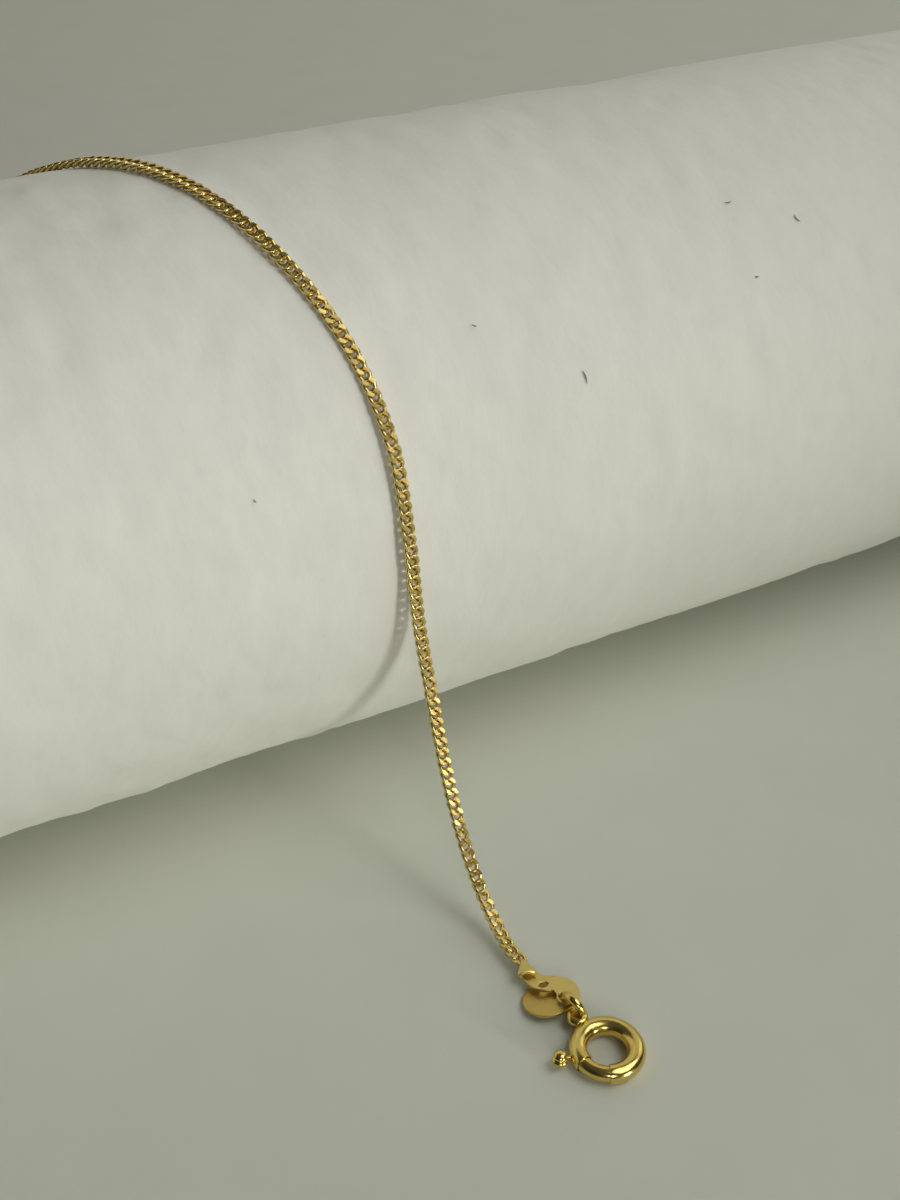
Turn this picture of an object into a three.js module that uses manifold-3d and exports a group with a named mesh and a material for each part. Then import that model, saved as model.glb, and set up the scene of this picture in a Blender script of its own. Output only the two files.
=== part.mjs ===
// A fine curb link chain, unfastened, laid over a plain white display roll.
//
// Units are millimetres, +Z is up and the table is z = 0. +X runs along the roll, and the clasp
// lies in front of it, towards -Y. The origin is the middle of the roll's resting flat.

import * as THREE from 'three';
import Module from 'manifold-3d';
import { mergeVertices } from 'three/addons/utils/BufferGeometryUtils.js';

const wasm = await Module();
wasm.setup();

// ---------------------------------------------------------------- driving dimensions

const ROLL = {
	radius: 25.5,
	length: 260,
	axisHeight: 25.3, // less than the radius: the roll settles on a narrow flat
	edgeRound: 2.5,
	arcSegments: 44,
	bevelSteps: 3
};

const CHAIN = {
	tubeRadius: 0.4, // between the links' half width and half thickness
	sides: 8,
	steps: 80,
	layRadius: 26.2, // from the roll's axis to the chain's middle
	tableHeight: 0.42 // of the chain's middle where it lies on the table
};

// Angles on the clasp are in degrees round its centre, from +X towards +Y.
const CLASP = {
	centre: [ - 26.7, - 54.01, 0.735 ],
	ringRadius: 2.16, // to the middle of the round tube
	tubeRadius: 0.715,
	boreRadius: 0.56,
	gate: [ 188, 242 ], // the stretch that only the bolt closes
	bore: [ 99, 249 ],
	slot: [ 119, 172 ], // for the knob's stem, round the outside of the tube
	slotHeight: 0.54,
	slotFloor: 2.41,
	sides: 16,
	turnSteps: 60
};

const BASE_EYE = { angle: 98, reach: 3.52, rise: 0.16, ringRadius: 0.68, wireRadius: 0.18 };

const BOLT = {
	rodRadius: 0.46,
	span: [ 150, 245.5 ],
	knobAngle: 166.5,
	stemRadius: 0.2,
	knobReach: 3.63,
	knobRadius: 0.53
};

const JUMP_RING = {
	centre: [ - 27.1, - 49.66, 1.33 ],
	ringRadius: 1.03,
	wireRadius: 0.28,
	lean: 9 // degrees from upright, towards +X
};

const CATCH_RING = { ringRadius: 1.4, wireRadius: 0.3, gap: 0.25 };

const END_TAG = {
	thickness: 0.26,
	height: 0.34, // of the plate's underside at the fold
	tilt: 7.3, // degrees: the plate rises from the fold to the jump ring
	linkHole: { x: - 27.83, y: - 46.72, radius: 0.36 },
	ringHole: { x: - 27.14, y: - 48.66, radius: 0.48 }
};

// The end tag's tongue turns back over itself through the last link.
const FOLD = {
	tip: [ - 28.02, - 43.86 ],
	heading: - 106, // degrees from +X, from the tip towards the plate
	gap: 0.42,
	reach: 1.5,
	root: 1.3,
	tipWidth: 0.5,
	width: 1.5
};

const ROUND_TAG = {
	ear: [ - 27.2, - 48.87, 0.667 ],
	earRadius: 0.7,
	holeRadius: 0.56,
	discOffset: [ - 1.0, 0.87 ], // of the disc's centre from the ear's hole
	radius: 1.7,
	thickness: 0.24,
	tilt: 10.9 // degrees: the disc's far edge rests on the table
};

const WIRE = { sides: 10, steps: 28 }; // of the round wire rings
const TABLE_GAP = 0.02; // under what lies on the table
const PAST = 1; // how far a cutter runs past what it cuts

// ---------------------------------------------------------------- the chain's route

// From the end tag up to the roll: the chain hangs free in a slack curve.
const HANGING = [
	// x, y, z
	[ - 28.3, - 43.4, 0.8 ],
	[ - 28.2, - 40.6, 1.1 ],
	[ - 28.2, - 37.8, 2.6 ],
	[ - 28.2, - 35.0, 5.3 ],
	[ - 28.2, - 32.6, 8.9 ],
	[ - 28.2, - 30.7, 12.9 ],
	[ - 28.2, - 29.0, 17.4 ],
	[ - 28.3, - 27.6, 21.8 ],
	[ - 28.3, - 26.6, 26.0 ]
];

// Over the roll: x at an angle from the roll's top, front positive.
const OVER_ROLL = [
	// x, degrees
	[ - 28.3, 80 ],
	[ - 28.4, 64 ],
	[ - 29.5, 48 ],
	[ - 31.6, 32 ],
	[ - 34.1, 16 ],
	[ - 37.0, 0 ],
	[ - 40.4, - 16 ],
	[ - 44.1, - 32 ],
	[ - 47.0, - 48 ],
	[ - 49.0, - 64 ],
	[ - 50.0, - 80 ]
];

// Down behind the roll.
const DOWN_BEHIND = [
	// x, y, z
	[ - 50.2, 26.9, 22.0 ],
	[ - 50.2, 27.6, 14.0 ],
	[ - 49.8, 29.4, 6.8 ],
	[ - 48.6, 32.2, 2.3 ],
	[ - 46.0, 35.6, 0.65 ]
];

// Along the table behind the roll, in slack waves.
const ON_TABLE = [
	// x, y
	[ - 41.0, 39.4 ],
	[ - 31.0, 42.9 ],
	[ - 15.0, 43.0 ],
	[ 5.0, 38.9 ],
	[ 25.0, 37.4 ],
	[ 45.0, 41.2 ],
	[ 65.0, 45.6 ],
	[ 85.0, 46.7 ],
	[ 105.0, 43.4 ],
	[ 125.0, 39.1 ],
	[ 145.0, 38.2 ],
	[ 165.0, 41.4 ],
	[ 185.0, 44.9 ],
	[ 210.0, 44.1 ],
	[ 235.5, 40.4 ]
];

const radians = THREE.MathUtils.degToRad;

function chainRoute() {

	const points = HANGING.map( ( p ) => new THREE.Vector3( ...p ) );

	for ( const [ x, degrees ] of OVER_ROLL ) {

		const turn = radians( degrees );
		const y = - CHAIN.layRadius * Math.sin( turn );
		const z = ROLL.axisHeight + CHAIN.layRadius * Math.cos( turn );
		points.push( new THREE.Vector3( x, y, z ) );

	}

	for ( const p of DOWN_BEHIND ) points.push( new THREE.Vector3( ...p ) );
	for ( const [ x, y ] of ON_TABLE ) points.push( new THREE.Vector3( x, y, CHAIN.tableHeight ) );
	return new THREE.CatmullRomCurve3( points, false, 'catmullrom', 0.5 );

}

const route = chainRoute();

// ---------------------------------------------------------------- solids

// A closed geometry as a solid that can be joined and cut.
function solid( geometry ) {

	const bare = geometry.clone();
	bare.deleteAttribute( 'normal' );
	bare.deleteAttribute( 'uv' );
	const merged = mergeVertices( bare, 1e-5 );
	return new wasm.Manifold( new wasm.Mesh( {
		numProp: 3,
		vertProperties: new Float32Array( merged.attributes.position.array ),
		triVerts: new Uint32Array( merged.index.array )
	} ) );

}

function geometryOf( manifold ) {

	const mesh = manifold.getMesh();
	const geometry = new THREE.BufferGeometry();
	geometry.setAttribute( 'position', new THREE.BufferAttribute( mesh.vertProperties, 3 ) );
	geometry.setIndex( new THREE.BufferAttribute( mesh.triVerts, 1 ) );
	geometry.computeVertexNormals();
	return geometry;

}

// A flat plate whose underside is at z = 0.
function plate( shape, thickness, curveSegments = 12 ) {

	return new THREE.ExtrudeGeometry( shape, { depth: thickness, bevelEnabled: false, curveSegments } );

}

function disc( x, y, radius ) {

	const shape = new THREE.Shape();
	shape.absarc( x, y, radius, 0, 2 * Math.PI, false );
	return shape;

}

// A cutter for a round hole through a plate of the given thickness.
function holeCutter( x, y, radius, thickness ) {

	return solid( plate( disc( x, y, radius ), thickness + 2 * PAST, 8 ).translate( 0, 0, - PAST ) );

}

// The space between two radii and two angles round the origin, with a height about z = 0.
function ringSector( inner, outer, [ from, to ], height ) {

	const a = radians( from );
	const b = radians( to );
	const shape = new THREE.Shape();
	shape.absarc( 0, 0, outer, a, b, false );
	shape.absarc( 0, 0, inner, b, a, true );
	shape.closePath();
	return plate( shape, height, 16 ).translate( 0, 0, - height / 2 );

}

// ---------------------------------------------------------------- pieces

// A soft cylinder with rounded edges, cut off by the narrow flat that it rests on.
function displayRoll() {

	const flatAngle = Math.asin( ROLL.axisHeight / ROLL.radius );
	const round = ROLL.edgeRound;
	const shape = new THREE.Shape();
	shape.absarc( 0, 0, ROLL.radius, - flatAngle, Math.PI + flatAngle, false );
	shape.closePath();
	const geometry = new THREE.ExtrudeGeometry( shape, {
		depth: ROLL.length - 2 * round,
		curveSegments: ROLL.arcSegments,
		bevelThickness: round,
		bevelSize: round,
		bevelOffset: - round,
		bevelSegments: ROLL.bevelSteps
	} );
	geometry.translate( 0, 0, round - ROLL.length / 2 );
	geometry.rotateX( Math.PI / 2 ).rotateZ( Math.PI / 2 );
	return geometry.translate( 0, 0, ROLL.axisHeight );

}

function chainTube() {

	const section = new THREE.Shape();
	for ( let side = 0; side < CHAIN.sides; side ++ ) {

		const turn = 2 * Math.PI * ( side + 0.5 ) / CHAIN.sides;
		const corner = [ CHAIN.tubeRadius * Math.cos( turn ), CHAIN.tubeRadius * Math.sin( turn ) ];
		if ( side === 0 ) section.moveTo( ...corner );
		else section.lineTo( ...corner );

	}

	section.closePath();
	return new THREE.ExtrudeGeometry( section, {
		steps: CHAIN.steps,
		bevelEnabled: false,
		extrudePath: route
	} );

}

// The plate's outline: a small lobe round the link hole, a waist, and a broad lobe.
function endTagOutline() {

	const outline = [
		[ - 28.75, - 45.1 ], [ - 28.78, - 46.0 ], [ - 28.58, - 46.85 ], [ - 28.0, - 47.4 ],
		[ - 27.66, - 47.85 ], [ - 27.86, - 48.5 ], [ - 27.86, - 49.1 ], [ - 27.3, - 49.58 ],
		[ - 26.5, - 49.5 ], [ - 25.85, - 48.95 ], [ - 25.6, - 48.1 ], [ - 25.78, - 47.2 ],
		[ - 26.4, - 46.5 ], [ - 27.2, - 45.95 ], [ - 27.55, - 45.3 ], [ - 28.15, - 44.85 ]
	].map( ( p ) => new THREE.Vector2( ...p ) );
	const start = outline.at( - 1 );
	const shape = new THREE.Shape();
	shape.moveTo( start.x, start.y );
	shape.splineThru( outline );
	return shape;

}

// The tongue seen from its side, s along it and z up: out along the bottom strip, round the bend
// and back along the top strip.
function foldProfile() {

	const { thickness } = END_TAG;
	const outer = FOLD.gap / 2 + thickness;
	const shape = new THREE.Shape();
	shape.moveTo( FOLD.root, 0 );
	shape.lineTo( FOLD.root, thickness );
	shape.absarc( outer, outer, FOLD.gap / 2, - Math.PI / 2, Math.PI / 2, true );
	shape.lineTo( FOLD.reach, 2 * outer - thickness );
	shape.lineTo( FOLD.reach, 2 * outer );
	shape.absarc( outer, outer, outer, Math.PI / 2, - Math.PI / 2, false );
	shape.closePath();
	return shape;

}

// The tongue from above: narrow at the bend, where the link sits, and broad at its end.
function foldPlan() {

	const half = FOLD.width / 2;
	const shape = new THREE.Shape();
	shape.moveTo( 0, - FOLD.tipWidth / 2 );
	shape.lineTo( FOLD.reach, - half );
	shape.lineTo( FOLD.reach, half );
	shape.lineTo( 0, FOLD.tipWidth / 2 );
	shape.closePath();
	return shape;

}

function foldTongue() {

	const strip = plate( foldProfile(), FOLD.width, 6 );
	strip.translate( 0, 0, - FOLD.width / 2 ).rotateX( Math.PI / 2 );
	const height = FOLD.gap + 2 * END_TAG.thickness;
	const plan = plate( foldPlan(), height + 2 * PAST ).translate( 0, 0, - PAST );
	return solid( strip ).intersect( solid( plan ) );

}

function endTag() {

	const [ tipX, tipY ] = FOLD.tip;
	const heading = radians( FOLD.heading );
	const { thickness, linkHole, ringHole } = END_TAG;
	const body = solid( plate( endTagOutline(), thickness, 3 ) )
		.subtract( holeCutter( linkHole.x, linkHole.y, linkHole.radius, thickness ) )
		.subtract( holeCutter( ringHole.x, ringHole.y, ringHole.radius, thickness ) );
	const tongue = geometryOf( foldTongue() ).rotateZ( heading ).translate( tipX, tipY, 0 );
	const geometry = geometryOf( body.add( solid( tongue ) ) );
	const along = new THREE.Vector3( Math.cos( heading ), Math.sin( heading ), 0 );
	const hinge = along.cross( new THREE.Vector3( 0, 0, 1 ) );
	const tilt = new THREE.Matrix4().makeRotationAxis( hinge, radians( END_TAG.tilt ) );
	geometry.translate( - tipX, - tipY, 0 ).applyMatrix4( tilt );
	return geometry.translate( tipX, tipY, END_TAG.height );

}

function roundTag() {

	const { thickness, earRadius, holeRadius, radius, discOffset } = ROUND_TAG;
	const body = solid( plate( disc( ...discOffset, radius ), thickness, 18 ) )
		.add( solid( plate( disc( 0, 0, earRadius ), thickness, 10 ) ) )
		.subtract( holeCutter( 0, 0, holeRadius, thickness ) );
	const geometry = geometryOf( body ).translate( 0, 0, - thickness / 2 );
	geometry.rotateX( - radians( ROUND_TAG.tilt ) );
	return geometry.translate( ...ROUND_TAG.ear );

}

function jumpRing() {

	const { centre, ringRadius, wireRadius, lean } = JUMP_RING;
	const geometry = new THREE.TorusGeometry( ringRadius, wireRadius, WIRE.sides, WIRE.steps );
	return geometry.rotateY( radians( 90 + lean ) ).translate( ...centre );

}

// A plain closed ring that lies flat on the table at the chain's far end.
function catchRing() {

	const end = route.getPointAt( 1 );
	const away = route.getTangentAt( 1 );
	const { ringRadius, wireRadius, gap } = CATCH_RING;
	const geometry = new THREE.TorusGeometry( ringRadius, wireRadius, WIRE.sides, WIRE.steps );
	const reach = gap + ringRadius + wireRadius;
	const height = wireRadius + TABLE_GAP;
	return geometry.translate( end.x + reach * away.x, end.y + reach * away.y, height );

}

// A block round the clasp's whole tube, between two angles.
function tubeSector( span ) {

	const { ringRadius } = CLASP;
	return solid( ringSector( ringRadius - PAST, ringRadius + PAST, span, 2 * PAST ) );

}

// The hollow ring: a round tube with a gate, a bore for the bolt, a slot for the knob's stem
// and a wire eye soldered on.
function claspRing() {

	const { ringRadius, tubeRadius, boreRadius, sides, turnSteps } = CLASP;
	const tube = new THREE.TorusGeometry( ringRadius, tubeRadius, sides, turnSteps );
	const eye = new THREE.TorusGeometry( BASE_EYE.ringRadius, BASE_EYE.wireRadius, WIRE.sides, WIRE.steps );
	eye.translate( BASE_EYE.reach, 0, BASE_EYE.rise ).rotateZ( radians( BASE_EYE.angle ) );
	const boreTube = solid( new THREE.TorusGeometry( ringRadius, boreRadius, 12, turnSteps ) );
	const bore = boreTube.intersect( tubeSector( CLASP.bore ) );
	const slot = ringSector( CLASP.slotFloor, ringRadius + PAST, CLASP.slot, CLASP.slotHeight );
	const body = solid( tube ).add( solid( eye ) )
		.subtract( tubeSector( CLASP.gate ) )
		.subtract( bore )
		.subtract( solid( slot ) );
	return geometryOf( body );

}

// A round rod bent to the ring's curve, with a stem and a knob to push it back by.
function claspBolt() {

	const rod = solid( new THREE.TorusGeometry( CLASP.ringRadius, BOLT.rodRadius, 14, CLASP.turnSteps ) )
		.intersect( tubeSector( BOLT.span ) );
	const stemLength = BOLT.knobReach - CLASP.ringRadius;
	const stem = new THREE.CylinderGeometry( BOLT.stemRadius, BOLT.stemRadius, stemLength, 12 );
	stem.rotateZ( Math.PI / 2 ).translate( CLASP.ringRadius + stemLength / 2, 0, 0 );
	const knob = new THREE.SphereGeometry( BOLT.knobRadius, 14, 10 ).translate( BOLT.knobReach, 0, 0 );
	const turn = radians( BOLT.knobAngle );
	return geometryOf( rod.add( solid( stem.rotateZ( turn ) ) ).add( solid( knob.rotateZ( turn ) ) ) );

}

// ---------------------------------------------------------------- the object

const GOLD = 0xc9a227;
const OFF_WHITE = 0xd9d9cf;

function gold( roughness ) {

	return new THREE.MeshStandardMaterial( { color: GOLD, metalness: 1, roughness } );

}

function piece( name, geometry, material ) {

	const mesh = new THREE.Mesh( geometry, material );
	mesh.name = name;
	return mesh;

}

const foam = new THREE.MeshStandardMaterial( { color: OFF_WHITE, metalness: 0, roughness: 0.9 } );

const tags = new THREE.Group();
tags.add( piece( 'end_tag', endTag(), gold( 0.22 ) ) );
tags.add( piece( 'round_tag', roundTag(), gold( 0.3 ) ) );
tags.add( piece( 'jump_ring', jumpRing(), gold( 0.2 ) ) );

const clasp = new THREE.Group();
clasp.position.set( ...CLASP.centre );
clasp.add( piece( 'clasp_ring', claspRing(), gold( 0.18 ) ) );
clasp.add( piece( 'clasp_bolt', claspBolt(), gold( 0.18 ) ) );

const chainOnRoll = new THREE.Group();
chainOnRoll.add( piece( 'display_roll', displayRoll(), foam ) );
chainOnRoll.add( piece( 'chain', chainTube(), gold( 0.25 ) ) );
chainOnRoll.add( piece( 'catch_ring', catchRing(), gold( 0.2 ) ) );
chainOnRoll.add( tags, clasp );

export default chainOnRoll;
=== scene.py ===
"""A fine curb link chain, unfastened, laid over a white display roll.

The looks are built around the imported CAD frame, in its own place and size: the links one by one,
the folded tag, the round tag, the jump ring, the spring-ring clasp and the soft white roll.
Shapes are worked out in millimetres and put into the meshes in metres, +Z up, with the table at
z = 0. +X runs along the roll and the clasp lies in front of it, towards -Y.
"""

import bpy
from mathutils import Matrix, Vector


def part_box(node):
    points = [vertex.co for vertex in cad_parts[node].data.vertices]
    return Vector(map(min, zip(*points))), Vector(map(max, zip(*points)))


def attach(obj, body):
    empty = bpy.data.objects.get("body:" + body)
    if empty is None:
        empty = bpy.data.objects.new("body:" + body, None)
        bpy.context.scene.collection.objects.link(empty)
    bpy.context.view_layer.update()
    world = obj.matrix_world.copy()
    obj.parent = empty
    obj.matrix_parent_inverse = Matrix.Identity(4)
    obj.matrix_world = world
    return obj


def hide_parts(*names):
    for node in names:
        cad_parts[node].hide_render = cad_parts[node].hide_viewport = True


bl_info = {
    "name": "Curb Chain on a Display Roll",
    "version": (1, 0, 0),
    "blender": (4, 5, 0),
    "location": "3D View > Sidebar > Curb Chain",
    "description": "Builds a fine curb link chain and the display roll that it lies over",
    "category": "Add Mesh",
}

import bpy
import numpy as np
from bpy.props import FloatProperty, FloatVectorProperty, PointerProperty
from mathutils import Matrix, Vector
from mathutils.geometry import tessellate_polygon

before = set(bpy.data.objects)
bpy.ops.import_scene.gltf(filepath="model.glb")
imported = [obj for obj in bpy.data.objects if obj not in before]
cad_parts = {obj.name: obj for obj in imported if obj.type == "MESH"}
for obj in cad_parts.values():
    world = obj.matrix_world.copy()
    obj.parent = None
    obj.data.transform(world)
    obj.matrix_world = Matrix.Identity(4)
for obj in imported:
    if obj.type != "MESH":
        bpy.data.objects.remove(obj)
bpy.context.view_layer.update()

MM = 0.001
X_WAY, Y_WAY, UP = np.eye(3)
DISPLAY = "display"  # the CAD body that carries everything but the bolt
BOLT_BODY = "bolt"


# ------------------------------------------------------------------ sizes that come from the frame


def cad_box(node):
    """The lowest and highest corners of a CAD node, in millimetres."""
    low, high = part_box(node)
    return np.array(low) / MM, np.array(high) / MM


ROLL_HIGH = cad_box("display_roll")[1]
ROLL_AXIS_HEIGHT = ROLL_HIGH[2] - ROLL_HIGH[1]
CLASP_LOW, CLASP_HIGH = cad_box("clasp_ring")
CLASP_OUTER = (CLASP_HIGH[0] - CLASP_LOW[0]) / 2


# ------------------------------------------------------------------ the chain's route

# From the end tag up to the roll: the chain hangs free in a slack curve.
HANGING = (
    # x, y, z
    (-28.3, -43.4, 0.8),
    (-28.2, -40.6, 1.1),
    (-28.2, -37.8, 2.6),
    (-28.2, -35.0, 5.3),
    (-28.2, -32.6, 8.9),
    (-28.2, -30.7, 12.9),
    (-28.2, -29.0, 17.4),
    (-28.3, -27.6, 21.8),
    (-28.3, -26.6, 26.0),
)

# Over the roll: x at an angle from the roll's top, front positive.
OVER_ROLL = (
    # x, degrees
    (-28.3, 80),
    (-28.4, 64),
    (-29.5, 48),
    (-31.6, 32),
    (-34.1, 16),
    (-37.0, 0),
    (-40.4, -16),
    (-44.1, -32),
    (-47.0, -48),
    (-49.0, -64),
    (-50.0, -80),
)
LAY_RADIUS = 26.2  # from the roll's axis to the chain's middle

# Down behind the roll.
DOWN_BEHIND = (
    # x, y, z
    (-50.2, 26.9, 22.0),
    (-50.2, 27.6, 14.0),
    (-49.8, 29.4, 6.8),
    (-48.6, 32.2, 2.3),
    (-46.0, 35.6, 0.65),
)

# Along the table behind the roll, in slack waves.
ON_TABLE = (
    # x, y
    (-41.0, 39.4),
    (-31.0, 42.9),
    (-15.0, 43.0),
    (5.0, 38.9),
    (25.0, 37.4),
    (45.0, 41.2),
    (65.0, 45.6),
    (85.0, 46.7),
    (105.0, 43.4),
    (125.0, 39.1),
    (145.0, 38.2),
    (165.0, 41.4),
    (185.0, 44.9),
    (210.0, 44.1),
    (235.5, 40.4),
)
TABLE_HEIGHT = 0.42  # of the route where it lies on the table

# How far the flat faces of the links in front are turned about the chain, away from the camera.
# It keeps the window's light on them without glare.
FACE_TURN = (
    # mm along the route from the end tag, degrees
    (0.0, 36.0),
    (4.0, 35.0),
    (6.0, 33.5),
    (8.0, 28.5),
    (10.0, 26.5),
    (11.5, 28.5),
    (14.0, 29.5),
    (18.0, 28.5),
    (22.0, 28.0),
    (25.0, 32.0),
    (28.0, 35.0),
    (31.0, 33.0),
    (40.0, 33.5),
    (45.0, 27.0),
    (50.0, 17.0),
    (54.0, 16.0),
    (58.0, 20.0),
    (62.0, 29.0),
)

# Which way the flat faces look further on.
FACING = (
    # mm along, x, y, z
    (68.0, 0.0, -0.55, 0.84),
    (75.0, 0.0, -0.4, 0.92),
    (84.0, 0.0, 0.1, 1.0),
    (96.0, 0.0, 0.75, 0.65),
    (112.0, 0.0, 1.0, 0.1),
    (130.0, 0.0, 1.0, 0.0),
    (142.0, 0.0, 0.6, 0.8),
    (149.5, 0.0, 0.0, 1.0),
    (440.0, 0.0, 0.0, 1.0),
)
SLOPE_REACH = 0.3  # how far to both sides of a place the chain's run there is measured
ROUTE_STEPS = 200  # points of the route for each of its spans


def catmull_rom(points, per_span, closed=False):
    """A smooth line through points, as whole arrays.

    Each span is the uniform Catmull-Rom cubic: it leaves a point along half the chord between the
    point's two neighbours. An open line's missing neighbours are the mirror images of the next
    points, so that its ends run straight.
    """
    points = np.asarray(points, float)
    if closed:
        padded = np.concatenate([points[-1:], points, points[:2]])
    else:
        padded = np.concatenate([2 * points[:1] - points[1:2], points, 2 * points[-1:] - points[-2:-1]])
    spans = len(padded) - 3
    steps = np.arange(per_span) / per_span
    before, start, end, after = (padded[k : k + spans, None, :] for k in range(4))
    leave = (end - before) / 2
    arrive = (after - start) / 2
    w = steps[None, :, None]
    line = start + leave * w + (3 * (end - start) - 2 * leave - arrive) * w**2
    line = line + (2 * (start - end) + leave + arrive) * w**3
    line = line.reshape(-1, points.shape[1])
    return line if closed else np.concatenate([line, points[-1:]])


def chain_route():
    """The chain's route as a fine polyline, with the distance along it at each of its points."""
    lay = np.array(OVER_ROLL, float)
    turn = np.radians(lay[:, 1])
    over = np.column_stack([
        lay[:, 0],
        -LAY_RADIUS * np.sin(turn),
        ROLL_AXIS_HEIGHT + LAY_RADIUS * np.cos(turn),
    ])
    table = np.array(ON_TABLE, float)
    table = np.column_stack([table, np.full(len(table), TABLE_HEIGHT)])
    line = catmull_rom(np.concatenate([HANGING, over, DOWN_BEHIND, table]), ROUTE_STEPS)
    along = np.concatenate([[0.0], np.cumsum(np.linalg.norm(np.diff(line, axis=0), axis=1))])
    return line, along


def at_distance(distances, known, values):
    """Values interpolated at distances, column by column."""
    return np.column_stack([np.interp(distances, known, values[:, k]) for k in range(values.shape[1])])


def facing_rows(line, along):
    """Distances along the route, and the ways that the links' flat faces look there.

    In front, a face turned by a looks along f cos a + (t x f) sin a, where t is the chain's run
    and f the way to the camera, squared to t.
    """
    known, degrees = np.array(FACE_TURN).T
    ahead = at_distance(known + SLOPE_REACH, along, line)
    run = unit(ahead - at_distance(known - SLOPE_REACH, along, line))
    front = unit(squared(np.array(CAMERA_PLACE) - at_distance(known, along, line), run))
    turn = np.radians(degrees)[:, None]
    ways = front * np.cos(turn) + np.cross(run, front) * np.sin(turn)
    beyond = np.array(FACING)
    return np.concatenate([known, beyond[:, 0]]), np.concatenate([ways, beyond[:, 1:]])


# ------------------------------------------------------------------ arrays and meshes


def unit(vectors):
    """The vectors at length 1."""
    return vectors / np.linalg.norm(vectors, axis=-1, keepdims=True)


def squared(vectors, axes):
    """The vectors without their parts along the axes, which are unit vectors."""
    return vectors - (vectors * axes).sum(-1, keepdims=True) * axes


def level_way(degrees):
    """The level unit vector at degrees from +X towards +Y."""
    turn = np.radians(degrees)
    return np.array([np.cos(turn), np.sin(turn), 0.0])


def full_turn(steps):
    """Angles in radians at equal steps round a circle."""
    return np.linspace(0, 2 * np.pi, steps, endpoint=False)


def smooth_step(low, high, values):
    """0 below low, 1 above high, and a smooth cubic ramp between."""
    t = np.clip((values - low) / (high - low), 0, 1)
    return t * t * (3 - 2 * t)


def grid_quads(rows, columns, wrap_rows=False, wrap_columns=True):
    """The faces of a grid of points. They look along (next column) x (next row)."""
    last_row = rows if wrap_rows else rows - 1
    last_column = columns if wrap_columns else columns - 1
    row, column = np.meshgrid(np.arange(last_row), np.arange(last_column), indexing="ij")
    next_row = (row + 1) % rows
    next_column = (column + 1) % columns
    quads = np.stack([
        row * columns + column,
        row * columns + next_column,
        next_row * columns + next_column,
        next_row * columns + column,
    ], axis=-1)
    return quads.reshape(-1, 4)


def pole_fans(rows, columns):
    """Triangles that close a tube's two ends on two poles, numbered after the grid's points."""
    first = rows * columns
    ring = np.arange(columns)
    after = (ring + 1) % columns
    top = (rows - 1) * columns
    near = np.column_stack([np.full(columns, first), after, ring])
    far = np.column_stack([np.full(columns, first + 1), top + ring, top + after])
    return np.concatenate([near, far])


def around(middle, out, up, across, lift):
    """A section carried along a path: middle + across * out + lift * up, for each path point.

    middle, out and up are (n, 3); across and lift are (n, m) or (m,). With out x up along the
    path backwards, grid_quads gives faces that look outwards for a section that runs from up
    towards out.
    """
    across = np.broadcast_to(across, (len(middle), np.shape(across)[-1]))
    lift = np.broadcast_to(lift, (len(middle), np.shape(lift)[-1]))
    return middle[:, None] + across[..., None] * out[:, None] + lift[..., None] * up[:, None]


def ring_points(centre, turns, spoke_radius, across, lift, axis_x, axis_y):
    """Points of a tube bent round a circle in the plane of axis_x and axis_y.

    A point lies at centre + (spoke_radius + across) * spoke + lift * normal, where the spoke
    turns with the angle in turns.
    """
    spokes = np.cos(turns)[:, None] * axis_x + np.sin(turns)[:, None] * axis_y
    normals = np.tile(np.cross(axis_x, axis_y), (len(turns), 1))
    return around(centre + spoke_radius * spokes, spokes, normals, across, lift)


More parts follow.
